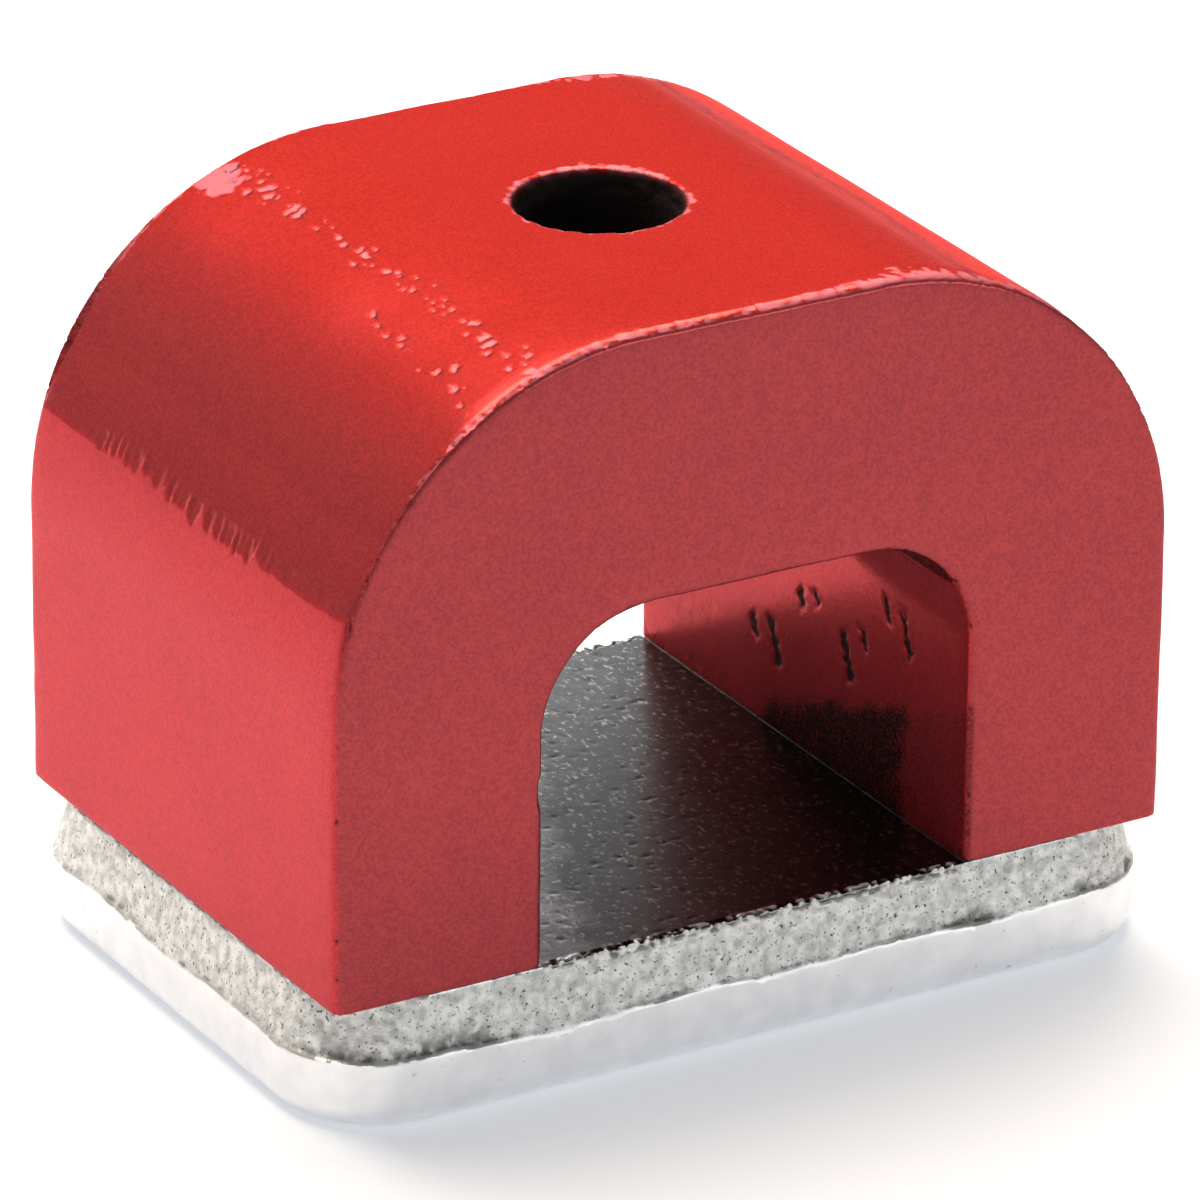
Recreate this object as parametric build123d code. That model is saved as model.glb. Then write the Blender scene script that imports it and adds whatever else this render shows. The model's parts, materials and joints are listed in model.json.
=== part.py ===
from build123d import *

import os

# Bridge-type lifting magnet with its steel keeper plate.
#
# One casting of permanent-magnet alloy stands on two ground pole faces, with a plain hole
# down through its bridge for a bolt or a lifting eye. A blanked steel keeper plate lies
# across both pole faces and slides off to free them.
#
# Frame: millimetres, +Z up. The origin is the centre of the keeper's underside, +X runs
# from pole to pole and +Y runs along the slot between the poles.

# Magnet casting
MAGNET_LENGTH = 44.5  # X, over both poles (1 3/4 in)
MAGNET_DEPTH = 30.2  # Y, along the slot (1 3/16 in)
MAGNET_HEIGHT = 30.4  # Z, pole faces to the flat top
SHOULDER_RADIUS = 16.0
CAST_EDGE_RADIUS = 0.5  # outline edges of the front and back faces

# Slot between the poles
SLOT_WIDTH = 22.7
SLOT_HEIGHT = 16.9
SLOT_CORNER_RADIUS = 5.6

# Hole down through the bridge, for a 5/16 in bolt
HOLE_DIAMETER = 7.94

# Keeper plate, blanked from 1/4 in steel with its burr side up against the poles
KEEPER_THICKNESS = 6.35
KEEPER_LENGTH = 46.0  # X, over the burnished band
KEEPER_DEPTH = 31.6  # Y, over the burnished band
KEEPER_CORNER_RADIUS = 5.5
FRACTURE_HEIGHT = 2.9  # torn band, from the top face down
FRACTURE_FLARE = 0.7  # how far each side widens down the torn band
DIE_ROLL_RADIUS = 1.3  # rounded edge of the underside

POLE_PLANE = KEEPER_THICKNESS
SLOT_TOP = POLE_PLANE + SLOT_HEIGHT
MAGNET_TOP = POLE_PLANE + MAGNET_HEIGHT


def bridge_profile():
    """The casting's outline seen along the slot: an arch with flat feet and a flat top."""
    outline = Rectangle(MAGNET_LENGTH, MAGNET_HEIGHT, align=(Align.CENTER, Align.MIN))
    shoulders = outline.vertices().group_by(Axis.Y)[-1]
    outline = fillet(shoulders, SHOULDER_RADIUS)
    slot = Rectangle(SLOT_WIDTH, SLOT_HEIGHT, align=(Align.CENTER, Align.MIN))
    slot_corners = slot.vertices().group_by(Axis.Y)[-1]
    return outline - fillet(slot_corners, SLOT_CORNER_RADIUS)


def magnet_body():
    """The one-piece magnet casting, bored down through the middle of its bridge."""
    across_the_slot = Plane(origin=(0, MAGNET_DEPTH / 2, POLE_PLANE), x_dir=(1, 0, 0), z_dir=(0, -1, 0))
    casting = extrude(across_the_slot * bridge_profile(), amount=MAGNET_DEPTH)
    face_outlines = casting.faces().filter_by(Axis.Y).edges()
    softened = [edge for edge in face_outlines if edge.center().Z > POLE_PLANE + CAST_EDGE_RADIUS]
    casting = fillet(softened, CAST_EDGE_RADIUS)
    bridge_middle = Pos(0, 0, (SLOT_TOP + MAGNET_TOP) / 2)
    hole = bridge_middle * Cylinder(HOLE_DIAMETER / 2, 2 * (MAGNET_HEIGHT - SLOT_HEIGHT))
    return casting - hole


def keeper_plate():
    """The keeper: a rounded plate with a torn, flaring upper band and a rolled lower edge."""
    burnished_outline = RectangleRounded(KEEPER_LENGTH, KEEPER_DEPTH, KEEPER_CORNER_RADIUS)
    burnished_height = KEEPER_THICKNESS - FRACTURE_HEIGHT
    lower = extrude(burnished_outline, amount=burnished_height)
    lower = fillet(lower.faces().sort_by(Axis.Z)[0].edges(), DIE_ROLL_RADIUS)
    top_outline = RectangleRounded(
        KEEPER_LENGTH - 2 * FRACTURE_FLARE,
        KEEPER_DEPTH - 2 * FRACTURE_FLARE,
        KEEPER_CORNER_RADIUS - FRACTURE_FLARE,
    )
    torn_band = loft([Pos(0, 0, burnished_height) * burnished_outline, Pos(0, 0, KEEPER_THICKNESS) * top_outline])
    return lower + torn_band


SUB_PARTS = {
    "magnet_body": magnet_body,
    "keeper_plate": keeper_plate,
}


def main():
    """Write one STEP file for each sub-part."""
    os.makedirs("parts", exist_ok=True)
    for name, make in SUB_PARTS.items():
        shape = make()
        export_step(shape, f"parts/{name}.step")
        print(f"{name}: {shape.volume / 1000:.3f} cm3")


if __name__ == "__main__":
    main()
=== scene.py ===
"""Visual model of a bridge-type lifting magnet standing on its steel keeper plate.

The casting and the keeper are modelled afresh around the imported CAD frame, in metres, with
the softened edges, chips, cast ripple and sheared plate edge that the real pieces have.
"""

import json
import logging
import math
import random
from dataclasses import dataclass
from enum import Enum
from itertools import zip_longest
from typing import Callable, ClassVar, NamedTuple

import bmesh
import bpy
import numpy as np
from mathutils import Matrix, Vector, noise


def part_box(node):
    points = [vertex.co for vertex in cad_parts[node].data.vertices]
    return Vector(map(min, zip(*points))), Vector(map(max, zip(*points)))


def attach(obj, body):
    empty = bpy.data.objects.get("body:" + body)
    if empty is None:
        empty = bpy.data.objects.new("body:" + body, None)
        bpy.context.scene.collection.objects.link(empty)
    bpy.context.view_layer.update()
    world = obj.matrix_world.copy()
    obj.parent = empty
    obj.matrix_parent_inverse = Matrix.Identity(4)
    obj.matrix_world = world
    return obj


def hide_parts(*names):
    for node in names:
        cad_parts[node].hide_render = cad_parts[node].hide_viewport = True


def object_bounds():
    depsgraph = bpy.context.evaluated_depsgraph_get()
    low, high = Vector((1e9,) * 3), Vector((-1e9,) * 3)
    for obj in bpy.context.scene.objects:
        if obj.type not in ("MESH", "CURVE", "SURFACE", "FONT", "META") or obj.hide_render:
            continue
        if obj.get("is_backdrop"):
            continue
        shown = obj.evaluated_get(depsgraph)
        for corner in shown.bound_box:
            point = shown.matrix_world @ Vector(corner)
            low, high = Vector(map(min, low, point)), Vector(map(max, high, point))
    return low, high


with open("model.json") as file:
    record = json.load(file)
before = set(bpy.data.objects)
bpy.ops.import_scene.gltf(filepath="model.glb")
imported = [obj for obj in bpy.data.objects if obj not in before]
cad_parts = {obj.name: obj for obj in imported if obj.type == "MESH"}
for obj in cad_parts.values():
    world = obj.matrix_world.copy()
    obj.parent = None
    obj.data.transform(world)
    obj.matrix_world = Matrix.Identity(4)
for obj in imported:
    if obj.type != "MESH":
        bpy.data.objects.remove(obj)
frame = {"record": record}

MM = 0.001

# The Mix node has a set of sockets for each kind of data, and these are its colour ones.
MIX_SHARE, MIX_UNDER, MIX_OVER, MIX_COLOUR = 0, 6, 7, 2

LOG = logging.getLogger("lifting_magnet")


class Part(Enum):
    """What an edit-mode selection is made of."""

    EDGES = "EDGE"
    FACES = "FACE"


class Touch(NamedTuple):
    """What weathering does to one point of a surface.

    Attributes:
        depth: how far the point sinks along its normal, in millimetres.
        marks: the value of each named surface mark there, from 0 to 1 or in millimetres.
    """

    depth: float
    marks: tuple[float, ...]


# ---------------------------------------------------------------------------------------
# Bench tools
# ---------------------------------------------------------------------------------------


def ripple(point: Vector, size_mm: float, seed: float = 0.0) -> float:
    """Smooth noise from -1 to 1.

    Args:
        point: the place, in millimetres.
        size_mm: the size of one swell.
        seed: sets one pattern apart from another.

    Returns:
        The noise there.
    """
    return noise.noise(point / size_mm + Vector((seed, 1.7 * seed, -0.6 * seed)))


def rise(value: float, start: float, end: float) -> float:
    """A smooth step.

    Args:
        value: where to read it.
        start: where it is 0.
        end: where it is 1.

    Returns:
        A number from 0 to 1.
    """
    t = min(max((value - start) / (end - start), 0.0), 1.0)
    return t * t * (3.0 - 2.0 * t)


def start_box(name: str, low: Vector, high: Vector) -> bpy.types.Object:
    """Add a cube from corner to corner, with its place in its mesh.

    Args:
        name: the object's name.
        low: its lowest corner, in metres.
        high: its highest corner, in metres.

    Returns:
        The new object, active and alone in the selection.
    """
    bpy.ops.object.select_all(action="DESELECT")
    bpy.ops.mesh.primitive_cube_add(size=1, location=(low + high) / 2, scale=high - low)
    bpy.ops.object.transform_apply(location=True, rotation=True, scale=True)
    made = bpy.context.object
    made.name = name
    return made


def pick(obj: bpy.types.Object, part: Part, test: Callable[..., bool]) -> int:
    """Select, in edit mode, just the edges or faces that pass a test.

    Args:
        obj: the active object, in edit mode.
        part: what to select.
        test: says of a bmesh edge or face whether it is wanted.

    Returns:
        How many were selected.
    """
    bpy.ops.mesh.select_mode(type=part.value)
    bpy.ops.mesh.select_all(action="DESELECT")
    cage = bmesh.from_edit_mesh(obj.data)
    wanted = [one for one in (cage.edges if part is Part.EDGES else cage.faces) if test(one)]
    for one in wanted:
        one.select_set(True)
    bmesh.update_edit_mesh(obj.data)
    return len(wanted)


def round_edges(
    obj: bpy.types.Object,
    test: Callable[..., bool],
    radius: float,
    segments: int,
) -> None:
    """Bevel the edges that pass a test to a round.

    Args:
        obj: the active object, in object mode.
        test: says of a bmesh edge whether it is wanted.
        radius: the round's radius, in metres.
        segments: how many faces make up the round.
    """
    bpy.ops.object.mode_set(mode="EDIT")
    pick(obj, Part.EDGES, test)
    bpy.ops.mesh.bevel(
        offset=radius, segments=segments, profile=0.5, affect="EDGES", clamp_overlap=False
    )
    bpy.ops.object.mode_set(mode="OBJECT")


def runs_along_y(edge: bmesh.types.BMEdge, above: float) -> bool:
    """Say whether an edge lies high up and runs along Y.

    Args:
        edge: the edge.
        above: the height that it has to be above, in metres.

    Returns:
        Whether it does.
    """
    first, second = (vertex.co for vertex in edge.verts)
    return min(first.z, second.z) > above and abs(first.x - second.x) < MM


def apply_modifier(obj: bpy.types.Object, kind: str, **settings: object) -> None:
    """Put a modifier on an object and apply it.

    Args:
        obj: the object.
        kind: Blender's name for the kind of modifier.
        **settings: the modifier's own settings.
    """
    bpy.ops.object.select_all(action="DESELECT")
    obj.select_set(True)
    bpy.context.view_layer.objects.active = obj
    modifier = obj.modifiers.new(kind.lower(), kind)
    for name, value in settings.items():
        setattr(modifier, name, value)
    bpy.ops.object.modifier_apply(modifier=modifier.name)


def cut_away(obj: bpy.types.Object, cutter: bpy.types.Object) -> None:
    """Take the cutter's shape out of an object, and throw the cutter away.

    Args:
        obj: the object that is cut.
        cutter: the shape to take out.
    """
    apply_modifier(obj, "BOOLEAN", object=cutter, operation="DIFFERENCE", solver="EXACT")
    bpy.data.objects.remove(cutter)


def weather(
    obj: bpy.types.Object,
    touch: Callable[[Vector, Vector], Touch],
    marks: tuple[str, ...],
) -> None:
    """Sink each point of a surface along its normal and write its marks as attributes.

    Args:
        obj: the object.
        touch: gives the Touch at a point and normal, both in millimetres.
        marks: the attributes' names, in the order of Touch.marks.
    """
    mesh = obj.data
    points = [vertex.co.copy() for vertex in mesh.vertices]
    normals = [vertex.normal.copy() for vertex in mesh.vertices]
    touches = [touch(point / MM, normal) for point, normal in zip(points, normals)]
    sunk = [p - n * (t.depth * MM) for p, n, t in zip(points, normals, touches)]
    moved = np.array(sunk, np.float32)
    mesh.vertices.foreach_set("co", moved.ravel())
    for column, name in enumerate(marks):
        values = np.array([t.marks[column] for t in touches], np.float32)
        mesh.attributes.new(name, "FLOAT", "POINT").data.foreach_set("value", values)
    mesh.update()


def thin_out(obj: bpy.types.Object, most_triangles: int) -> None:
    """Thin a mesh where it is plain.

    Args:
        obj: the object.
        most_triangles: how many triangles it may keep.
    """
    triangles = sum(len(face.vertices) - 2 for face in obj.data.polygons)
    apply_modifier(obj, "DECIMATE", ratio=min(1.0, most_triangles / triangles))


def smooth(obj: bpy.types.Object, crease_deg: float) -> None:
    """Shade an object smooth, with edges sharper than an angle left crisp.

    Args:
        obj: the object.
        crease_deg: the angle, in degrees.
    """
    bpy.ops.object.select_all(action="DESELECT")
    obj.select_set(True)
    bpy.context.view_layer.objects.active = obj
    bpy.ops.object.shade_smooth_by_angle(angle=math.radians(crease_deg))


# ---------------------------------------------------------------------------------------
# Finishes
# ---------------------------------------------------------------------------------------


def linear(hex_colour: str) -> tuple[float, float, float, float]:
    """Turn an sRGB hex colour to linear.

    Args:
        hex_colour: six hex digits, such as "c01218".

    Returns:
        Red, green, blue and an alpha of 1.
    """
    channels = [int(hex_colour[i : i + 2], 16) / 255 for i in (0, 2, 4)]
    red, green, blue = (c / 12.92 if c <= 0.04045 else ((c + 0.055) / 1.055) ** 2.4 for c in channels)
    return red, green, blue, 1.0


def per_metre(size_mm: float) -> float:
    """A texture scale whose features are size_mm across."""
    return 1.0 / (size_mm * MM)


def add_node(
    tree: bpy.types.NodeTree,
    kind: str,
    inputs: dict | None = None,
    **settings: object,
) -> bpy.types.Node:
    """Add a shader node with its settings and links.

    Args:
        tree: the material's or world's node tree.
        kind: the node's type name, without "ShaderNode".
        inputs: a value, or the socket to link, for each input by name or number.
        **settings: the node's own settings.

    Returns:
        The new node.
    """
    made = tree.nodes.new("ShaderNode" + kind)
    for name, value in settings.items():
        setattr(made, name, value)
    for key, value in (inputs or {}).items():
        if isinstance(value, bpy.types.NodeSocket):
            tree.links.new(value, made.inputs[key])
        else:
            made.inputs[key].default_value = value
    return made


def noise_field(
    tree: bpy.types.NodeTree,
    place: bpy.types.NodeSocket,
    size_mm: float,
    detail: float,
    low: float,
    high: float,
) -> bpy.types.NodeSocket:
    """Add noise whose values from low to high are spread from 0 to 1.

    Args:
        tree: the material's node tree.
        place: the coordinates to read.
        size_mm: the size of one blot.
        detail: how many finer layers it has.
        low: the noise value that gives 0.
        high: the noise value that gives 1.

    Returns:
        The socket with the result.
    """
    field = add_node(tree, "TexNoise", {"Vector": place, "Scale": per_metre(size_mm), "Detail": detail})
    spread = {"Value": field.outputs["Fac"], "From Min": low, "From Max": high}
    return add_node(tree, "MapRange", spread).outputs["Result"]


def layered(
    tree: bpy.types.NodeTree,
    base: bpy.types.NodeSocket | tuple[float, ...],
    *coats: tuple[bpy.types.NodeSocket, bpy.types.NodeSocket | tuple[float, ...]],
) -> bpy.types.NodeSocket:
    """Lay colours over one another.

    Args:
        tree: the material's node tree.
        base: the colour at the bottom.
        *coats: how much of it shows, and its colour, for each colour laid on in turn.

    Returns:
        The socket with the colour on top.
    """
    for share, colour in coats:
        mixed = {MIX_SHARE: share, MIX_UNDER: base, MIX_OVER: colour}
        base = add_node(tree, "Mix", mixed, data_type="RGBA").outputs[MIX_COLOUR]
    return base


def read_marks(tree: bpy.types.NodeTree, names: tuple[str, ...]) -> list[bpy.types.NodeSocket]:
    """Read the surface marks that weathering wrote.

    Args:
        tree: the material's node tree.
        names: the marks' names.

    Returns:
        A socket for each mark, in the same order.
    """
    return [add_node(tree, "Attribute", attribute_name=name).outputs["Fac"] for name in names]


def new_material(name: str) -> bpy.types.Material:
    """Make a node material with no nodes.

    Args:
        name: its name.

    Returns:
        The new material.
    """
    made = bpy.data.materials.new(name)
    made.use_nodes = True
    made.node_tree.nodes.clear()
    return made


@dataclass(frozen=True)
class StovedEnamel:
    """Red alkyd enamel, sprayed thin over cast alnico and stoved.

    The coat is thin and glossy, so that half of what it mirrors is tinted by the bright
    metal under it: a side that faces the white floor glows, and one that faces the dark
    room goes maroon. Spraying leaves a fine orange peel and a speckle of duller spots. The
    dark casting shows in chips and score marks, a dark broken line runs along every edge,
    a dark patch lies low on a slot wall and a dull rub runs along the right shoulder.
    Painted shade darkens the slot's walls towards their foot, the bridge's underside and a
    spot in front of each fleck on the shoulders. A pale pink painted highlight, partly
    rubbed paint, lies along the top edges, round the hole's rim and in flecks on the
    shoulders. The two ends and a band on each shoulder take a darker, duller copy of the
    red as painted shade, and the top a brighter, oranger copy as painted light.

    The speckle of a real coat is a few hundredths of a millimetre across, too fine to
    show, so it is drawn coarser.
    """

    colour: str = "ce3f41"
    shade: str = "a8333c"
    # A darker, duller copy of the red, painted as shade on the ends and a band on each shoulder, and a
    # brighter, oranger copy, painted as light on the top.
    shaded_copy: str = "b24545"
    shaded_copy_speckle: str = "923841"
    lit_copy: str = "ce352c"
    lit_copy_speckle: str = "a92a29"
    # Pale pink painted highlight, partly rubbed paint.
    chalk_and_glint: str = "ad5f6c"
    # The dark casting, also used as painted shade in the slot and in front of the flecks.
    metal: str = "120809"
    peel_mm: float = 0.28
    peel_height_mm: float = 0.006
    speckle_mm: float = 0.15
    mottle_mm: float = 0.45
    cloud_mm: float = 7.0
    roughest: float = 0.24
    glossiest: float = 0.17

    def material(self) -> bpy.types.Material:
        """Build the enamel's node material.

        Returns:
            The new material.
        """
        made = new_material("stoved_red_enamel")
        tree = made.node_tree
        place = add_node(tree, "TexCoord").outputs["Object"]
        speckle = noise_field(tree, place, self.speckle_mm, 1.0, 0.36, 0.64)
        mottle = noise_field(tree, place, self.mottle_mm, 3.0, 0.34, 0.66)
        cloud = noise_field(tree, place, self.cloud_mm, 2.0, 0.3, 0.7)
        fine = add_node(tree, "Math", {0: speckle, 1: 0.6, 2: 0.0}, operation="MULTIPLY_ADD")
        coarse = {0: mottle, 1: 0.18, 2: fine.outputs[0]}
        coarse = add_node(tree, "Math", coarse, operation="MULTIPLY_ADD")
        depth = {0: cloud, 1: 0.15, 2: coarse.outputs[0]}
        depth = add_node(tree, "Math", depth, operation="MULTIPLY_ADD")
        bare_and_shadow, rubbed_and_sheen, thin_and_shade, end, top, matt = read_marks(tree, MagnetCasting.MARKS)
        # The sides' red, with a darker copy as painted shade on the ends and the shoulders' band and a
        # brighter copy as painted light on the top.
        side_red, shaded_red, lit_red = (
            layered(tree, linear(light), (depth.outputs[0], linear(dark)))
            for light, dark in (
                (self.colour, self.shade),
                (self.shaded_copy, self.shaded_copy_speckle),
                (self.lit_copy, self.lit_copy_speckle),
            )
        )
        red = layered(tree, side_red, (end, shaded_red), (top, lit_red))
        speckled = add_node(tree, "Math", {0: speckle, 1: 0.6, 2: 0.75}, operation="MULTIPLY_ADD")
        shown = {0: thin_and_shade, 1: speckled.outputs[0]}
        shown = add_node(tree, "Math", shown, operation="MULTIPLY", use_clamp=True)
        chalk_and_glint, metal = linear(self.chalk_and_glint), linear(self.metal)
        # The dark casting covers chips and scores and is also painted shade in the slot and in front of the
        # flecks; the pink over it is a painted highlight, partly rubbed paint.
        coat = layered(tree, red, (shown.outputs[0], metal), (rubbed_and_sheen, chalk_and_glint), (bare_and_shadow, metal))
        peel = {"Vector": place, "Scale": per_metre(self.peel_mm), "Detail": 2.0}
        peel = add_node(tree, "TexNoise", peel)
        relief = {"Height": peel.outputs["Fac"], "Distance": self.peel_height_mm * MM, "Strength": 1.0}
        relief = add_node(tree, "Bump", relief)
        gloss = {"Value": cloud, "To Min": self.glossiest, "To Max": self.roughest}
        gloss = add_node(tree, "MapRange", gloss)
        dull = add_node(tree, "Math", {0: bare_and_shadow, 1: rubbed_and_sheen}, operation="MAXIMUM")
        duller = add_node(tree, "Math", {0: dull.outputs[0], 1: shown.outputs[0]}, operation="MAXIMUM")
        duller = add_node(tree, "Math", {0: duller.outputs[0], 1: matt}, operation="MAXIMUM")
        roughness = {0: duller.outputs[0], 1: 0.4, 2: gloss.outputs["Result"]}
        roughness = add_node(tree, "Math", roughness, operation="MULTIPLY_ADD")
        add_shader(
            tree,
            {
                "Base Color": coat,
                "Roughness": roughness.outputs[0],
                "Normal": relief.outputs["Normal"],
                "Metallic": 0.46,
                "IOR": 1.30,
                "Specular Tint": (1.0, 0.4, 0.45, 1.0),
            },
        )
        return made


@dataclass(frozen=True)
class GroundAlnico:
    """Alnico ground flat on a surface grinder: bright grey with fine parallel lines.

    The lines catch the light one way and go dark the other. Real ones are a few hundredths
    of a millimetre apart, and are drawn coarser here so that they show.
    """

    bright: str = "c9c7c2"
    dull: str = "908d88"
    line_mm: float = 0.12
    line_length_mm: float = 6.0

    def material(self) -> bpy.types.Material:
        """Build the ground metal's node material.

        Returns:
            The new material.
        """
        made = new_material("ground_alnico")
        tree = made.node_tree
        place = add_node(tree, "TexCoord").outputs["Object"]
        grid = (per_metre(self.line_length_mm), per_metre(self.line_mm), 1.0)
        stretched = {"Vector": place, "Scale": grid}
        stretched = add_node(tree, "Mapping", stretched)
        lines = {"Vector": stretched.outputs["Vector"], "Scale": 1.0, "Detail": 3.0}
        lines = add_node(tree, "TexNoise", lines)
        tone = layered(tree, linear(self.dull), (lines.outputs["Fac"], linear(self.bright)))
        relief = {"Height": lines.outputs["Fac"], "Distance": 0.003 * MM, "Strength": 1.0}
        relief = add_node(tree, "Bump", relief)
        add_shader(
            tree,
            {
                "Base Color": tone,
                "Normal": relief.outputs["Normal"],
                "Metallic": 1.0,
                "Roughness": 0.34,
            },
        )
        return made


@dataclass(frozen=True)
class BoreScaleAndShade:
    """The as-cast skin inside the bore: dark, rough alnico with burnt-on mould sand.

    It is drawn near black as painted shade for the deep hole, with only a hint of grain.
    """

    dark: str = "0c0708"
    light: str = "2a1a1b"
    grain_mm: float = 0.4

    def material(self) -> bpy.types.Material:
        """Build the scale's node material.

        Returns:
            The new material.
        """
        made = new_material("cast_alnico_scale_and_shade")
        tree = made.node_tree
        place = add_node(tree, "TexCoord").outputs["Object"]
        grain = {"Vector": place, "Scale": per_metre(self.grain_mm), "Detail": 4.0}
        grain = add_node(tree, "TexNoise", grain)
        tone = layered(tree, linear(self.dark), (grain.outputs["Fac"], linear(self.light)))
        relief = {"Height": grain.outputs["Fac"], "Distance": 0.06 * MM, "Strength": 1.0}
        relief = add_node(tree, "Bump", relief)
        add_shader(
            tree,
            {
                "Base Color": tone,
                "Normal": relief.outputs["Normal"],
                "Metallic": 0.2,
                "Roughness": 0.75,
            },
        )
        return made


@dataclass(frozen=True)
class BlankedSteel:
    """Mild steel plate, blanked in one stroke and tumbled.

    The punch leaves a smooth, bright burnished band on the lower half of the edge and a
    pale, crystalline torn band above it, flecked with dark pits, with a raised burr at the
    very top. The burr's beads are painted white as glints, and painted shade darkens the
    nicks between them and the hollow low in the torn band. The rolled faces carry dark,
    glossy mill scale dusted with bright grit, worn to pale metal where the poles rub, and
    paler towards the back left of the slot as a painted reflection.

    Real crystals and grit are a few hundredths of a millimetre across, too fine to show,
    so they are drawn coarser.
    """

    burnished: str = "f4f5f6"
    cloudy: str = "ebecee"
    torn_light: str = "f2f3f1"
    torn_grey: str = "c2c3c1"
    pit: str = "3a3938"
    rubbed_and_sheen: str = "e8ebec"
    # The pale worn face, also painted as a reflection at the back left of the slot.
    rubbed_and_sheen_grey: str = "bcc1c3"
    scale: str = "282b2d"
    scale_dark: str = "0f1112"
    # Painted glint on the burr's beads.
    glint_white: str = "ffffff"
    grain_mm: float = 0.55
    grit_mm: float = 0.17
    cloud_mm: float = 1.4
    speck_mm: float = 0.24
    worn_mm: float = 4.0
    # How far the pale face reaches towards the back left of the slot, a painted reflection.
    sheen_to_mm: float = -7.5
    scaled_from_mm: float = 1.0
    rubbed_off: float = 0.7
    wander_mm: float = 6.0
    sheen_slant: float = -0.4
    pole_edge_mm: float = 11.35
    mid_height_mm: float = 3.2
    underside_scale: float = 0.35

    def material(self) -> bpy.types.Material:
        """Build the plate's node material.

        Returns:
            The new material.
        """
        made = new_material("blanked_mild_steel")
        tree = made.node_tree
        place = add_node(tree, "TexCoord").outputs["Object"]
        torn, face, burr_and_glint, shaded_hollow = read_marks(tree, KeeperPlate.MARKS)
        cloud = noise_field(tree, place, self.cloud_mm, 3.0, 0.35, 0.65)
        grain = noise_field(tree, place, self.grain_mm, 4.0, 0.35, 0.62)
        grit = noise_field(tree, place, self.grit_mm, 2.0, 0.61, 0.71)
        dots = noise_field(tree, place, 2.0 * self.speck_mm, 2.0, 0.70, 0.80)
        drawn = add_node(tree, "Mapping", {"Vector": place, "Scale": (1.0, 0.65, 1.0)}).outputs["Vector"]
        specks = noise_field(tree, drawn, self.speck_mm, 2.0, 0.58, 0.78)
        axes = add_node(tree, "SeparateXYZ", {"Vector": place}).outputs
        wander = {"Vector": place, "Scale": per_metre(self.worn_mm), "Detail": 3.0}
        wander = add_node(tree, "TexNoise", wander)
        # The scale wears to pale metal towards the back left of the slot as a painted reflection, with a
        # random wander, and under the poles, where they rub.
        slanted = {0: axes["Y"], 1: self.sheen_slant, 2: axes["X"]}
        toward = add_node(tree, "Math", slanted, operation="MULTIPLY_ADD").outputs[0]
        moved = {0: wander.outputs["Fac"], 1: self.wander_mm * MM, 2: toward}
        shifted = add_node(tree, "Math", moved, operation="MULTIPLY_ADD").outputs[0]
        start, end = self.sheen_to_mm * MM, self.scaled_from_mm * MM
        spread = {"Value": shifted, "From Min": start, "From Max": end}
        scaled = add_node(tree, "MapRange", spread).outputs["Result"]
        beside = add_node(tree, "Math", {0: axes["X"]}, operation="ABSOLUTE").outputs[0]
        under_pole = {0: beside, 1: self.pole_edge_mm * MM}
        under_pole = add_node(tree, "Math", under_pole, operation="GREATER_THAN")
        kept = {0: under_pole.outputs[0], 1: -self.rubbed_off, 2: 1.0}
        kept = add_node(tree, "Math", kept, operation="MULTIPLY_ADD")
        scaled = add_node(tree, "Math", {0: scaled, 1: kept.outputs[0]}, operation="MULTIPLY").outputs[0]
        height = {0: axes["Z"], 1: self.mid_height_mm * MM}
        upper = add_node(tree, "Math", height, operation="GREATER_THAN").outputs[0]
        either = {"Value": upper, "To Min": self.underside_scale, "To Max": scaled}
        scaled = add_node(tree, "MapRange", either).outputs["Result"]
        fewer = add_node(tree, "MapRange", {"Value": scaled, "To Min": 1.0, "To Max": 0.3})
        fewer = {0: specks, 1: fewer.outputs["Result"]}
        specks = add_node(tree, "Math", fewer, operation="MULTIPLY").outputs[0]

        torn_grey, pit = linear(self.torn_grey), linear(self.pit)
        light, darkest = linear(self.torn_light), linear(self.scale_dark)
        band = layered(tree, linear(self.burnished), (cloud, linear(self.cloudy)), (dots, torn_grey))
        # The pit colour in the hollow mark is painted shade.
        crystals = layered(tree, torn_grey, (grain, light), (grit, pit), (shaded_hollow, pit))
        worn_and_sheen_face = layered(tree, linear(self.rubbed_and_sheen_grey), (grain, linear(self.rubbed_and_sheen)))
        scale = layered(tree, darkest, (grain, linear(self.scale)))
        rolled = layered(tree, worn_and_sheen_face, (scaled, scale), (grit, darkest), (specks, light))
        edge = layered(tree, band, (torn, crystals))
        # The burr's beads are painted white as glints.
        plate = layered(tree, edge, (face, rolled), (burr_and_glint, linear(self.glint_white)))

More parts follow.
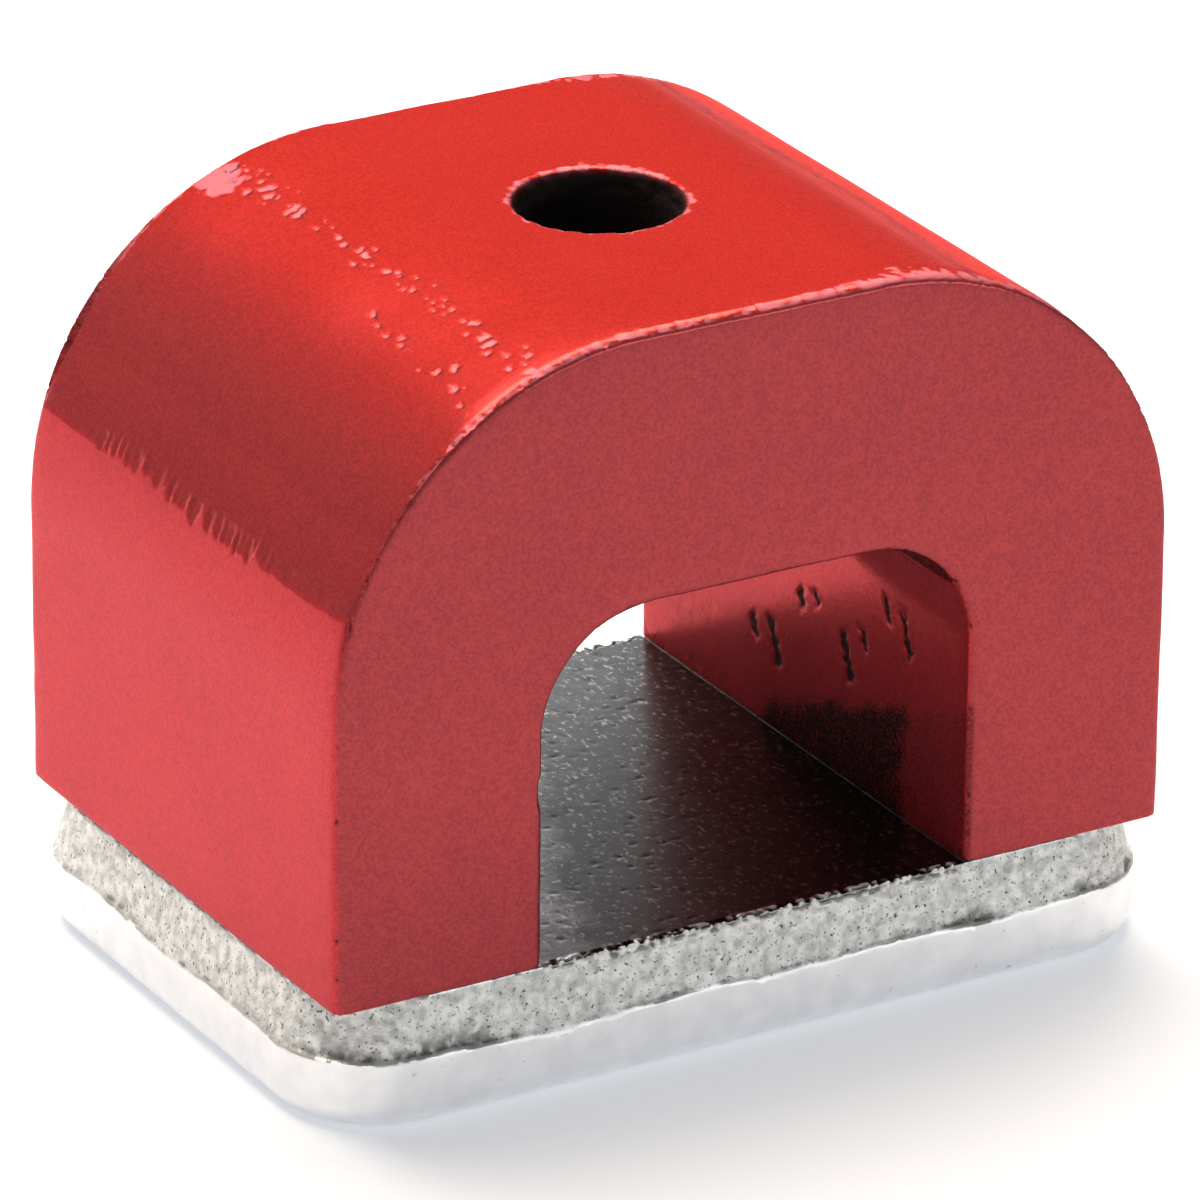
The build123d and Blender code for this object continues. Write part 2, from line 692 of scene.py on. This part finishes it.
        rough_edge = add_node(tree, "MapRange", {"Value": torn, "To Min": 0.40, "To Max": 0.5})
        roughness = {"Value": face, "To Min": rough_edge.outputs["Result"], "To Max": 0.33}
        roughness = add_node(tree, "MapRange", roughness)
        metal_edge = add_node(tree, "MapRange", {"Value": torn, "To Min": 0.85, "To Max": 0.3})
        metal = {"Value": face, "To Min": metal_edge.outputs["Result"], "To Max": 0.85}
        metal = add_node(tree, "MapRange", metal).outputs["Result"]
        grey = add_node(tree, "Math", {0: metal, 1: burr_and_glint}, operation="SUBTRACT", use_clamp=True)
        crystal_height = add_node(tree, "Math", {0: grain, 1: torn}, operation="MULTIPLY")
        speck_height = add_node(tree, "Math", {0: specks, 1: face}, operation="MULTIPLY")
        height = {0: speck_height.outputs[0], 1: 0.25, 2: crystal_height.outputs[0]}
        height = add_node(tree, "Math", height, operation="MULTIPLY_ADD")
        relief = {"Height": height.outputs[0], "Distance": 0.03 * MM, "Strength": 1.0}
        relief = add_node(tree, "Bump", relief)
        add_shader(
            tree,
            {
                "Base Color": plate,
                "Roughness": roughness.outputs["Result"],
                "Normal": relief.outputs["Normal"],
                "Metallic": grey.outputs[0],
            },
        )
        return made


def add_shader(tree: bpy.types.NodeTree, inputs: dict) -> None:
    """Add the surface shader and the output that ends a material.

    Args:
        tree: the material's node tree.
        inputs: the shader's values and links.
    """
    shader = add_node(tree, "BsdfPrincipled", inputs)
    add_node(tree, "OutputMaterial", {"Surface": shader.outputs["BSDF"]})


# ---------------------------------------------------------------------------------------
# The pieces
# ---------------------------------------------------------------------------------------


class Score(NamedTuple):
    """An upright score mark on a wall of the slot, in millimetres.

    Attributes:
        start: where its upper end is, along Y and up from the poles.
        end: where its lower end is.
        half_width: half its width.
    """

    start: tuple[float, float]
    end: tuple[float, float]
    half_width: float


@dataclass
class MagnetCasting:
    """The one-piece magnet: an arch of cast alnico on two ground poles, in red enamel.

    Sizes are in millimetres.
    """

    # bare also carries painted shadows in front of the flecks, rubbed a pink painted highlight, partly
    # rubbed paint, and thin painted shade in the slot; end and top choose the darker and brighter copies of
    # the red, painted shade and painted light.
    MARKS: ClassVar[tuple[str, ...]] = ("bare_and_shadow", "rubbed_and_sheen", "thin_and_shade", "end", "top", "matt")

    low: Vector
    high: Vector
    hole_radius: float
    shoulder_radius: float = 16.0
    slot_width: float = 22.7
    slot_height: float = 16.9
    slot_corner_radius: float = 5.6
    outline_round: float = 0.45
    rim_round: float = 0.3
    linished_height: float = 19.15
    skin_voxel: float = 0.15
    most_triangles: int = 190_000
    score_count: int = 8
    score_seed: int = 4
    score_depth: float = 0.05
    dent_height: float = 8.7
    dent_size: tuple[float, float, float] = (0.4, 0.6, 1.05)
    dent_depth: float = 0.25
    fleck_angle: float = 70.0
    fleck_depth: float = 0.05

    @property
    def slot_top(self) -> float:
        """Height of the bridge's underside."""
        return self.low.z + self.slot_height

    def build(self) -> bpy.types.Object:
        """Model the casting, weather it and give it its finishes.

        Returns:
            The finished piece.
        """
        self.scores = self._scatter_scores()
        piece = self._block()
        self._open_slot(piece)
        self._bore_hole(piece)
        self._soften_outlines(piece)
        apply_modifier(piece, "REMESH", mode="VOXEL", voxel_size=self.skin_voxel * MM)
        weather(piece, self._touch, self.MARKS)
        thin_out(piece, self.most_triangles)
        smooth(piece, 40.0)
        self._dress(piece)
        return piece

    def _block(self) -> bpy.types.Object:
        """Make the solid block with its two big shoulders.

        Returns:
            The block.
        """
        block = start_box("casting", self.low * MM, self.high * MM)
        top = (self.high.z - 0.01) * MM
        round_edges(
            block,
            lambda edge: runs_along_y(edge, top),
            self.shoulder_radius * MM,
            72,
        )
        return block

    def _open_slot(self, block: bpy.types.Object) -> None:
        """Cut the slot between the poles right through along Y.

        Args:
            block: the block that is cut.
        """
        half, over = self.slot_width / 2, 2.0
        low = Vector((-half, self.low.y - over, self.low.z - over)) * MM
        high = Vector((half, self.high.y + over, self.slot_top)) * MM
        cutter = start_box("slot_cutter", low, high)
        top = high.z - 0.01 * MM
        round_edges(
            cutter,
            lambda edge: runs_along_y(edge, top),
            self.slot_corner_radius * MM,
            32,
        )
        cut_away(block, cutter)

    def _bore_hole(self, block: bpy.types.Object) -> None:
        """Bore the hole down through the bridge.

        Args:
            block: the block that is bored.
        """
        bpy.ops.object.select_all(action="DESELECT")
        bpy.ops.mesh.primitive_cylinder_add(
            vertices=128,
            radius=self.hole_radius * MM,
            depth=(self.high.z - self.slot_top + 4.0) * MM,
            location=(0, 0, (self.high.z + self.slot_top) / 2 * MM),
        )
        bpy.ops.object.transform_apply(location=True, rotation=True, scale=True)
        cut_away(block, bpy.context.object)

    def _soften_outlines(self, block: bpy.types.Object) -> None:
        """Round the outlines of the two faces and both rims of the hole.

        Args:
            block: the cut and bored block.
        """
        bpy.context.view_layer.objects.active = block
        face_y, foot_z, near = self.high.y * MM, self.low.z * MM, 0.02 * MM

        def on_outline(edge: bmesh.types.BMEdge) -> bool:
            """Say whether an edge is on the outline of a face.

            Args:
                edge: the edge.

            Returns:
                Whether it is, the edges of the poles left out.
            """
            on_face = all(abs(abs(v.co.y) - face_y) < near for v in edge.verts)
            level = all(v.co.z < foot_z + near for v in edge.verts)
            return on_face and not level

        def on_rim(edge: bmesh.types.BMEdge) -> bool:
            """Say whether an edge is on a rim of the hole.

            Args:
                edge: the edge.

            Returns:
                Whether it is.
            """
            radius = self.hole_radius * MM
            on_wall = all(abs(v.co.to_2d().length - radius) < near for v in edge.verts)
            flat = abs(edge.verts[0].co.z - edge.verts[1].co.z) < near
            return on_wall and flat

        round_edges(block, on_outline, self.outline_round * MM, 5)
        round_edges(block, on_rim, self.rim_round * MM, 4)

    def _edge_distance(self, point: Vector) -> float:
        """Measure how far a point of the surface is from the nearest outline of the two faces.

        Args:
            point: the point, in millimetres.

        Returns:
            The distance, in millimetres.
        """
        x, z = abs(point.x), point.z
        turn_x, turn_z = self.high.x - self.shoulder_radius, self.high.z - self.shoulder_radius
        big = Vector((x - turn_x, z - turn_z))
        if min(big) > 0:
            outer = self.shoulder_radius - big.length
        else:
            outer = min(self.high.x - x, self.high.z - z)
        half = self.slot_width / 2
        turn_x, turn_z = half - self.slot_corner_radius, self.slot_top - self.slot_corner_radius
        small = Vector((x - turn_x, z - turn_z))
        if min(small) > 0:
            inner = small.length - self.slot_corner_radius
        else:
            inner = max(x - half, z - self.slot_top)
        return math.hypot(self.high.y - abs(point.y), min(abs(outer), abs(inner)))

    def _touch(self, point: Vector, normal: Vector) -> Touch:
        """Wear and chip the edges, score the slot and paint shade in it, streak and fleck the shoulders,
        and mark the ends and the top for the darker and brighter copies of the red.

        Args:
            point: the point, in millimetres.
            normal: the surface's normal there.

        Returns:
            What weathering does to it.
        """
        if point.z < self.low.z + 0.05 and normal.z < -0.7:
            return Touch(0.0, (0.0, 0.0, 0.0, 0.0, 0.0, 0.0))
        depth = 0.01
        wear = self._edge_wear(point, normal)
        inside = self._slot_wear(point, normal)
        shoulder = self._shoulder_wear(point, normal)
        depth += wear.depth + inside.depth + shoulder.depth + self._slot_dent(point)
        # The ends and the shoulders' band take the darker copy of the red as painted shade, and the top the
        # brighter copy as painted light.
        end, top = rise(abs(normal.y), 0.6, 0.9), rise(normal.z, 0.6, 0.98)
        tilt = math.degrees(math.atan2(normal.z, normal.x))
        matt = rise(tilt, 15.0, 35.0) * rise(tilt, 78.0, 62.0) * (1.0 - end)
        worn = zip_longest(wear.marks, inside.marks, shoulder.marks, fillvalue=0.0)
        bare_and_shadow, rubbed_and_sheen, thin_and_shade, shaded_band = (max(values) for values in worn)
        return Touch(depth, (bare_and_shadow, rubbed_and_sheen, thin_and_shade, max(end, shaded_band), top, matt))

    def _edge_wear(self, point: Vector, normal: Vector) -> Touch:
        """Make the edges wavy and chipped with a dark broken line, and paint a pale pink highlight, partly
        rubbed paint, on their top side and round the hole's rim.

        Args:
            point: the point, in millimetres.
            normal: the surface's normal there.

        Returns:
            What weathering does to it.
        """
        edge = self._edge_distance(point)
        rim = abs(point.to_2d().length - self.hole_radius)
        around_rim = self.high.z - point.z < 1.0 and rim < 0.8
        if edge > 1.6 and not around_rim:
            return Touch(0.0, (0.0, 0.0, 0.0))
        if around_rim:
            # A pink painted highlight round the hole's rim, with a dark line at its edge.
            broken = rise(ripple(point, 0.6, 15.0), -0.1, 0.1)
            pink = rise(rim + 0.3 * ripple(point, 0.5, 14.0), 0.42, 0.30) * broken
            dark = rise(rim, 0.2, 0.1)
            return Touch(0.05 * pink, (0.8 * dark, pink, 0.0))
        depth = 0.04 * rise(edge, 1.5, 0.0) * (1 + ripple(point, 2.4, 5.0))
        chip = rise(ripple(point, 0.4, 8.0), 0.36, 0.5) * rise(edge, 0.3, 0.15)
        depth += 0.06 * chip
        curve_start = self.high.z - self.shoulder_radius
        on_curve = rise(point.z, curve_start - 1.0, curve_start + 4.0)
        broken = 0.35 + 0.3 * on_curve + 0.35 * rise(ripple(point, 1.3, 2.0), -0.3, 0.3)
        line = rise(edge, 0.20 + 0.08 * on_curve, 0.06) * broken
        # A pale pink painted highlight, partly rubbed paint, on the top side of the edge.
        on_top = rise(normal.z, 0.35, 0.75)
        swell = max(0.0, ripple(Vector((point.x, 0.0, 0.0)), 7.0, 6.0))
        reach = 0.32 + 0.45 * swell + 0.35 * rise(point.x, 2.0, 10.0)
        tatter = edge - reach * (1.0 + 1.3 * ripple(point, 0.34, 9.0))
        pink = on_top * rise(tatter, 0.05, -0.05) * rise(ripple(point, 0.9, 19.0), -0.5, -0.1)
        bare_and_shadow = max(chip * (1 - 0.7 * on_top), 0.85 * line * (1 - on_top))
        return Touch(depth + 0.03 * pink, (bare_and_shadow, pink, 0.0))

    def _slot_dent(self, point: Vector) -> float:
        """Press the painted-over dent into the slot's left front edge.

        Args:
            point: the point, in millimetres.

        Returns:
            How deep the dent is there, in millimetres.
        """
        centre = Vector((-self.slot_width / 2, self.low.y, self.low.z + self.dent_height))
        apart = point - centre
        reach = sum((far / size) ** 2 for far, size in zip(apart, self.dent_size))
        return self.dent_depth * max(0.0, 1.0 - reach)

    def _slot_wear(self, point: Vector, normal: Vector) -> Touch:
        """Score the slot's walls and darken a patch low down, with painted shade on the walls towards their
        foot and on the bridge's underside.

        Args:
            point: the point, in millimetres.
            normal: the surface's normal there.

        Returns:
            What weathering does to it.
        """
        inside = abs(point.x) < self.slot_width / 2 + 0.3 and point.z < self.slot_top
        spots = rise(ripple(point, 0.22, 6.0) + 0.35 * ripple(point, 2.2, 2.0), 0.05, 0.5)
        # Painted shade on the bridge's underside.
        if inside and normal.z < -0.5 and point.z > self.slot_top - 2.5:
            return Touch(0.0, (0.0, 0.0, 0.75 + 0.25 * spots))
        if not inside or normal.x * point.x > -0.3 * abs(point.x):
            return Touch(0.0, (0.0, 0.0, 0.0))
        up = point.z - self.low.z
        score = max(self._scored(point.y, up, point, one) for one in self.scores)
        ragged = 0.9 * ripple(point, 0.35, 3.0) + 0.8 * ripple(point, 1.3, 4.0)
        patch_top = 1.4 + 0.365 * (2.5 - point.y)
        patch = rise(up - patch_top + 0.7 * ragged, 0.35, -0.35) * rise(point.y - ragged, 4.0, 2.4)
        patch *= 1.0 - 0.62 * rise(point.y - 1.4 * ragged, -8.6, -10.2)
        # Painted shade on the walls, darker towards their foot.
        low_down = rise(up, 9.0, 0.0)
        return Touch(self.score_depth * score, (score, 0.0, max(patch, (0.15 + 0.55 * spots) * low_down)))

    def _scatter_scores(self) -> tuple[Score, ...]:
        """Scatter short score marks along the slot's wall, in a row that climbs to the front.

        Returns:
            The marks, all leaning the same way, each with its own length and width.
        """
        draw = random.Random(self.score_seed)
        rear, front = 5.0, -10.0
        lowest, highest, stray = 6.0, 10.2, 1.2
        marks = []
        for number in range(self.score_count):
            share = (number + draw.uniform(0.2, 0.8)) / self.score_count
            y = rear + (front - rear) * share
            up = lowest + (highest - lowest) * share + draw.uniform(-stray, stray)
            length = draw.choice((0.5, 0.9, 1.8))
            end = (y - 0.4 * length, up - length)
            marks.append(Score((y, up), end, draw.uniform(0.16, 0.32)))
        return tuple(marks)

    @staticmethod
    def _scored(y: float, up: float, point: Vector, score: Score) -> float:
        """Measure how deep a point of the slot's wall lies in one score mark.

        Args:
            y: the point's place along the slot.
            up: its height above the poles.
            point: the whole point, for the mark's rough outline.
            score: the mark.

        Returns:
            A number from 0, outside it, to 1.
        """
        start, end = Vector(score.start), Vector(score.end)
        along = end - start
        place = Vector((y, up))
        share = min(max((place - start).dot(along) / along.length_squared, 0.0), 1.0)
        apart = (place - start - along * share).length
        rough = apart + 0.3 * ripple(point, 0.3, 27.0)
        return rise(rough, score.half_width + 0.08, score.half_width - 0.06)

    def _shoulder_wear(self, point: Vector, normal: Vector) -> Touch:
        """Streak each shoulder low down and darken the band above the streaks as painted shade, fleck it
        where it meets the top with a pink painted highlight and a painted shadow in front of each fleck,
        and rub the right one.

        Args:
            point: the point, in millimetres.
            normal: the surface's normal there.

        Returns:
            What weathering does to it.
        """
        side = point.x
        across = abs(side) - (self.high.x - self.shoulder_radius)
        up = point.z - (self.high.z - self.shoulder_radius)
        if across < 0 or up < -4.0 or abs(normal.y) > 0.6 or normal.x * side < 0:
            return Touch(0.0, (0.0, 0.0, 0.0, 0.0))
        line = self.low.z + self.linished_height + 0.3 * ripple(Vector((side, point.y, 0.0)), 5.0, 1.0)
        ragged = rise(abs(point.y - 1.0), 9.5, 6.5)
        streak = (0.12 + 0.75 * ragged) * noise.noise(Vector((side, point.y / 0.34, 0.3 * point.z)))
        past, past_streak = max(point.z - line, 0.0), max(point.z - line - streak, 0.0)
        turned = min(past_streak, 0.8) + min(max(past, 0.8), 3.5) - 0.8
        depth = (0.04 * rise(past_streak, 0.0, 0.2) + 0.1 * turned) * rise(past, 10.5, 2.5)
        angle = math.degrees(math.atan2(up, across)) if up > 0 else 0.0
        row = math.exp(-(((angle - self.fleck_angle) / 2.2) ** 2)) * (0.75 + 0.35 * rise(point.y, 2.0, 9.0))
        row += 0.3 * math.exp(-(((angle - 60.0) / 3.0) ** 2)) * rise(point.y, 0.0, -4.0)
        if side > 0:
            row *= 0.5
        fleck = self._fleck(point, row)
        # A painted shadow in front of each fleck.
        shade = self._fleck(point + Vector((0.0, 0.17, 0.0)), row) * (1.0 - fleck)
        # A pink painted highlight smeared at the rear of the left shoulder.
        if side < 0:
            smear = math.hypot((angle - 66.5) / 3.6, (point.y - self.high.y + 1.3) / 1.5)
            fleck = max(fleck, rise(smear + 0.5 * ripple(point, 0.5, 28.0), 1.1, 0.85))
        rub = 0.0
        if side > 0:
            wander = angle - self.fleck_angle - 2.2 * ripple(Vector((0.0, point.y, 0.0)), 9.0, 31.0)
            rub = math.exp(-((wander / 1.5) ** 2)) * (0.55 + 0.45 * ripple(point, 0.8, 32.0))
        # A darker, duller red over the band above the streaks, as painted shade.
        fading = rise(angle + 3.0 * ripple(point, 6.0, 33.0), 66.0, 50.0)
        shaded_band = 0.7 * rise(past_streak, 0.0, 0.25) * fading
        return Touch(depth + self.fleck_depth * fleck, (0.85 * shade, fleck, 0.5 * max(rub, 0.0), shaded_band))

    @staticmethod
    def _fleck(point: Vector, row: float) -> float:
        """Measure how much of a fleck lies at a point in a row of flecks, for the pink painted highlight
        and, shifted, for the painted shadow in front of it.

        Args:
            point: the point, in millimetres.
            row: how thick the flecks lie there.

        Returns:
            A number from 0 to 1.
        """
        if row < 0.12:
            return 0.0
        place = Vector((point.x / 0.45, point.y / 0.32, point.z / 0.45)) + Vector((11.0, 3.0, 5.0))
        return rise(noise.noise(place) + 0.36 * row, 0.58, 0.68)

    def _dress(self, piece: bpy.types.Object) -> None:
        """Give the skin, the ground poles and the bore their finishes.

        Args:
            piece: the weathered casting.
        """
        for finish in (StovedEnamel(), GroundAlnico(), BoreScaleAndShade()):
            piece.data.materials.append(finish.material())
        foot, rim = self.low.z + 0.06, self.high.z - self.rim_round - 0.1
        for face in piece.data.polygons:
            centre = face.center / MM
            in_bore = centre.to_2d().length < self.hole_radius + 0.1 and centre.z < rim
            if centre.z < foot and face.normal.z < -0.7:
                face.material_index = 1
            elif in_bore and abs(face.normal.z) < 0.5:
                face.material_index = 2


@dataclass
class KeeperPlate:
    """The blanked steel plate across the poles. Sizes are in millimetres."""

    # burr also carries a painted glint on its beads; hollow carries painted shade in the nicks and low in
    # the torn band.
    MARKS: ClassVar[tuple[str, ...]] = ("torn", "face", "burr_and_glint", "shaded_hollow")

    low: Vector
    high: Vector
    corner_radius: float = 5.5
    torn_height: float = 2.9
    torn_flare: float = 0.7
    die_roll: float = 1.3
    burr_height: float = 0.10
    pole_edge: float = 11.35
    skin_voxel: float = 0.13
    most_triangles: int = 190_000

    @property
    def band_line(self) -> float:
        """Height at which the burnished band gives way to the torn one."""
        return self.high.z - self.torn_height

    def build(self) -> bpy.types.Object:
        """Model the plate, weather it and give it its finish.

        Returns:
            The finished piece.
        """
        piece = self._blank()
        apply_modifier(piece, "REMESH", mode="VOXEL", voxel_size=self.skin_voxel * MM)
        weather(piece, self._touch, self.MARKS)
        thin_out(piece, self.most_triangles)
        smooth(piece, 50.0)
        piece.data.materials.append(BlankedSteel().material())
        return piece

    def _blank(self) -> bpy.types.Object:
        """Blank the plate: round corners, a flared torn band and a rolled lower edge.

        Returns:
            The plate as the die leaves it.
        """
        lower_top = Vector((self.high.x, self.high.y, self.band_line))
        plate = start_box("keeper", self.low * MM, lower_top * MM)
        round_edges(
            plate,
            lambda edge: abs(edge.verts[0].co.z - edge.verts[1].co.z) > MM,
            self.corner_radius * MM,
            24,
        )
        bpy.ops.object.mode_set(mode="EDIT")
        pick(plate, Part.FACES, lambda face: face.normal.z > 0.9)
        bpy.ops.mesh.extrude_region_move(TRANSFORM_OT_translate={"value": (0, 0, self.torn_height * MM)})
        shrink = [1 - self.torn_flare / half for half in (self.high.x, self.high.y)]
        bpy.ops.transform.resize(
            value=(shrink[0], shrink[1], 1),
            center_override=(0, 0, self.high.z * MM),
        )
        bpy.ops.object.mode_set(mode="OBJECT")
        floor = (self.low.z + 0.01) * MM
        round_edges(plate, lambda edge: all(v.co.z < floor for v in edge.verts), self.die_roll * MM, 10)
        return plate

    def _touch(self, point: Vector, normal: Vector) -> Touch:
        """Tear and burnish the edge in two bands, with a nicked burr along the top.

        Args:
            point: the point, in millimetres.
            normal: the surface's normal there.

        Returns:
            What weathering does to it.
        """
        near_top = self.high.z - point.z
        # The burr's beads take a white painted glint, and the nicks between them painted shade.
        bead = ripple(point, 0.33, 12.0)
        open_edge = rise(abs(point.x), self.pole_edge - 0.25, self.pole_edge - 0.5)
        burr_and_glint = open_edge * rise(near_top, 0.4, 0.3) * rise(bead, 0.0, 0.2)
        gap = (0.15 + 0.85 * open_edge) * rise(near_top, 0.4, 0.25) * rise(bead, -0.08, -0.2)
        if abs(normal.z) > 0.9:
            if normal.z < 0:
                return Touch(0.0, (0.0, 1.0, 0.0, 0.0))
            rim = rise(self._inset(point), 0.5, 0.35)
            pit = rise(ripple(point, 0.45, 2.0), 0.4, 0.6)
            depth = 0.02 * pit + (0.07 * gap - self.burr_height * burr_and_glint) * rim
            return Touch(depth, (0.0, 1.0, burr_and_glint * rim, 0.0))
        flat = Vector((point.x, point.y, 0.0))
        line = self.band_line + 0.34 * ripple(flat, 6.0, 1.0) + 0.14 * ripple(flat, 1.3, 4.0)
        above = point.z - line
        torn = rise(above, -0.04, 0.10)
        ledge = 0.03 * rise(above, 0.75, 0.65) * rise(ripple(flat, 1.6, 8.0), -0.1, 0.2)
        corner = rise((point - Vector((-self.high.x, self.low.y, point.z))).length, 15.0, 4.0)
        ends = rise(abs(point.x - 1.0), 6.0, 11.0) * rise(-point.y, 10.0, 14.0)
        gouge = rise(ripple(flat, 2.6, 15.0), -0.35, 0.35) * (0.35 + 0.65 * ends)
        gouge = min(1.0, gouge + 0.6 * corner * ends)
        shaded_hollow = math.exp(-(((above - 0.34) / 0.34) ** 2))
        grain = 0.05 * (1 + ripple(point, 0.9, 7.0)) + 0.035 * (1 + ripple(point, 0.32, 9.0))
        torn_depth = torn * ((0.02 + 0.16 * gouge) * shaded_hollow + ledge + grain)
        depth = 0.01 + torn_depth + 0.07 * gap - self.burr_height * burr_and_glint
        speckle = ripple(point, 0.42, 5.0) + 0.4 * ripple(point, 1.1, 6.0)
        flecked = rise(speckle, 0.3 - 0.9 * gouge, 0.6 - 0.6 * gouge)
        # Painted shade low in the torn band, just above the band line, darker in the gouges.
        dark = torn * rise(above, 1.3 * gouge + 0.05, 0.0) * flecked
        return Touch(depth, (torn, 0.0, burr_and_glint, max(0.8 * dark, 0.8 * gap)))

    def _inset(self, point: Vector) -> float:
        """How far a point of the top face lies inside its outline."""
        return min(self.high.x - abs(point.x), self.high.y - abs(point.y)) - self.torn_flare


# ---------------------------------------------------------------------------------------
# The studio
# ---------------------------------------------------------------------------------------


@dataclass(frozen=True)
class SoftBox:
    """A rectangular soft light.

    Attributes:
        name: its name.
        azimuth: where it stands round the object, in degrees: 0 in front, 90 to the right.
        elevation: how high it stands above the floor, in degrees.
        distance: how far off it is, in metres.
        width: how wide it is, in metres.
        height: how tall it is, in metres.
        radiance: how bright its face is, where 1 is the white of the picture.
        colour: the colour of its light.
    """

    name: str
    azimuth: float
    elevation: float
    distance: float
    width: float
    height: float
    radiance: float
    colour: tuple[float, float, float] = (1.0, 1.0, 1.0)

    def place(self, target: Vector) -> None:
        """Add the light, facing the target.

        Args:
            target: the point that it faces, in metres.
        """
        a, e = math.radians(self.azimuth), math.radians(self.elevation)
        away = Vector((math.sin(a) * math.cos(e), -math.cos(a) * math.cos(e), math.sin(e)))
        lamp = bpy.data.lights.new(self.name, "AREA")
        lamp.shape, lamp.color = "RECTANGLE", self.colour
        lamp.size, lamp.size_y = self.width, self.height
        lamp.energy = self.radiance * math.pi * self.width * self.height
        holder = bpy.data.objects.new(self.name, lamp)
        holder.visible_camera = False
        bpy.context.scene.collection.objects.link(holder)
        turn = away.to_track_quat("Z", "Y").to_matrix().to_4x4()
        holder.matrix_world = Matrix.Translation(target + away * self.distance) @ turn


@dataclass
class Studio:
    """A plain pale floor, soft lights and a long lens from the front left."""

    low: Vector
    high: Vector
    azimuth: float = -30.4
    elevation: float = 23.85
    roll: float = 0.55
    distance: float = 0.4485
    lens: float = 285.4
    aim: tuple[float, float, float] = (0.27, 0.0, 16.4)
    room_light: float = 0.10
    table_light: float = 0.50
    boxes: tuple[SoftBox, ...] = (
        SoftBox("overhead", 168.0, 70.0, 0.30, 0.32, 0.20, 9.6, (1.0, 0.83, 0.64)),
        SoftBox("backdrop_light", 172.0, 62.0, 1.2, 1.20, 0.80, 4.6, (1.0, 0.94, 0.87)),
        SoftBox("front_strip", 30.0, 8.0, 1.0, 0.60, 0.16, 4.2, (0.97, 1.0, 1.0)),
        SoftBox("left_strip", -48.0, 10.0, 1.0, 0.40, 0.25, 2.0, (0.97, 1.0, 1.0)),
        SoftBox("rear_card", 174.0, 3.0, 0.075, 0.075, 0.034, 3.8),
        SoftBox("grey_card", 125.0, -1.0, 0.056, 0.045, 0.033, 0.2),
    )

    def build(self) -> None:
        """Set up the floor, the light and the camera."""
        bpy.context.scene.view_settings.view_transform = "Standard"
        self._floor()
        self._room()
        for box in self.boxes:
            box.place(Vector((0, 0, (self.low.z + self.high.z) / 2)))
        self._camera()

    def _floor(self) -> None:
        """Lay a wide light table of white acrylic under the keeper, lit a little from below."""
        bpy.ops.object.select_all(action="DESELECT")
        bpy.ops.mesh.primitive_plane_add(size=12, location=(0, 0, self.low.z))
        bpy.ops.object.transform_apply(location=True, rotation=True, scale=True)
        floor = bpy.context.object
        floor.name = "floor"
        acrylic = new_material("lit_white_acrylic")
        glow = {"Emission Color": (0.98, 1.0, 1.04, 1), "Emission Strength": self.table_light}
        add_shader(acrylic.node_tree, {"Base Color": linear("b0b3b8"), "Roughness": 0.9} | glow)
        floor.data.materials.append(acrylic)
        floor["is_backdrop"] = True

    def _room(self) -> None:
        """Fill the room with even light."""
        room = bpy.data.worlds.new("room")
        room.use_nodes = True
        room.node_tree.nodes.clear()
        even = {"Color": (1, 1, 1, 1), "Strength": self.room_light}
        glow = add_node(room.node_tree, "Background", even)
        add_node(room.node_tree, "OutputWorld", {"Surface": glow.outputs["Background"]})
        bpy.context.scene.world = room

    def _camera(self) -> None:
        """Stand the camera at its place, level but for a slight roll."""
        a, e, roll = (math.radians(v) for v in (self.azimuth, self.elevation, self.roll))
        back = Vector((math.sin(a) * math.cos(e), -math.cos(a) * math.cos(e), math.sin(e)))
        right = (-back).cross(Vector((0, 0, 1))).normalized()
        up = right.cross(-back)
        tilted_right = right * math.cos(roll) + up * math.sin(roll)
        tilted_up = up * math.cos(roll) - right * math.sin(roll)
        lens = bpy.data.cameras.new("camera")
        lens.lens = self.lens
        lens.sensor_width = 36.0
        lens.clip_start, lens.clip_end = 0.01, 20.0
        holder = bpy.data.objects.new("camera", lens)
        bpy.context.scene.collection.objects.link(holder)
        place = Matrix((tilted_right, tilted_up, back)).transposed().to_4x4()
        place.translation = Vector(self.aim) * MM + back * self.distance
        holder.matrix_world = place
        bpy.context.scene.camera = holder


def main() -> None:
    """Build the casting, the keeper and the studio, in that order."""
    logging.basicConfig(level=logging.INFO, format="%(name)s: %(message)s")
    cad_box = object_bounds()
    hole = next(m for m in frame["record"]["mounts"] if m["name"] == "mounting_hole")
    low, high = (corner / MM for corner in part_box("magnet_body"))
    casting = MagnetCasting(low, high, hole["dims"]["r_mm"]).build()
    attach(casting, "magnet")
    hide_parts("magnet_body")
    LOG.info("casting: %d faces", len(casting.data.polygons))

    low, high = (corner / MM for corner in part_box("keeper_plate"))
    keeper = KeeperPlate(low, high).build()
    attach(keeper, "keeper")
    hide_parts("keeper_plate")
    LOG.info("keeper: %d faces", len(keeper.data.polygons))

    Studio(*cad_box).build()


if __name__ == "__main__":
    main()
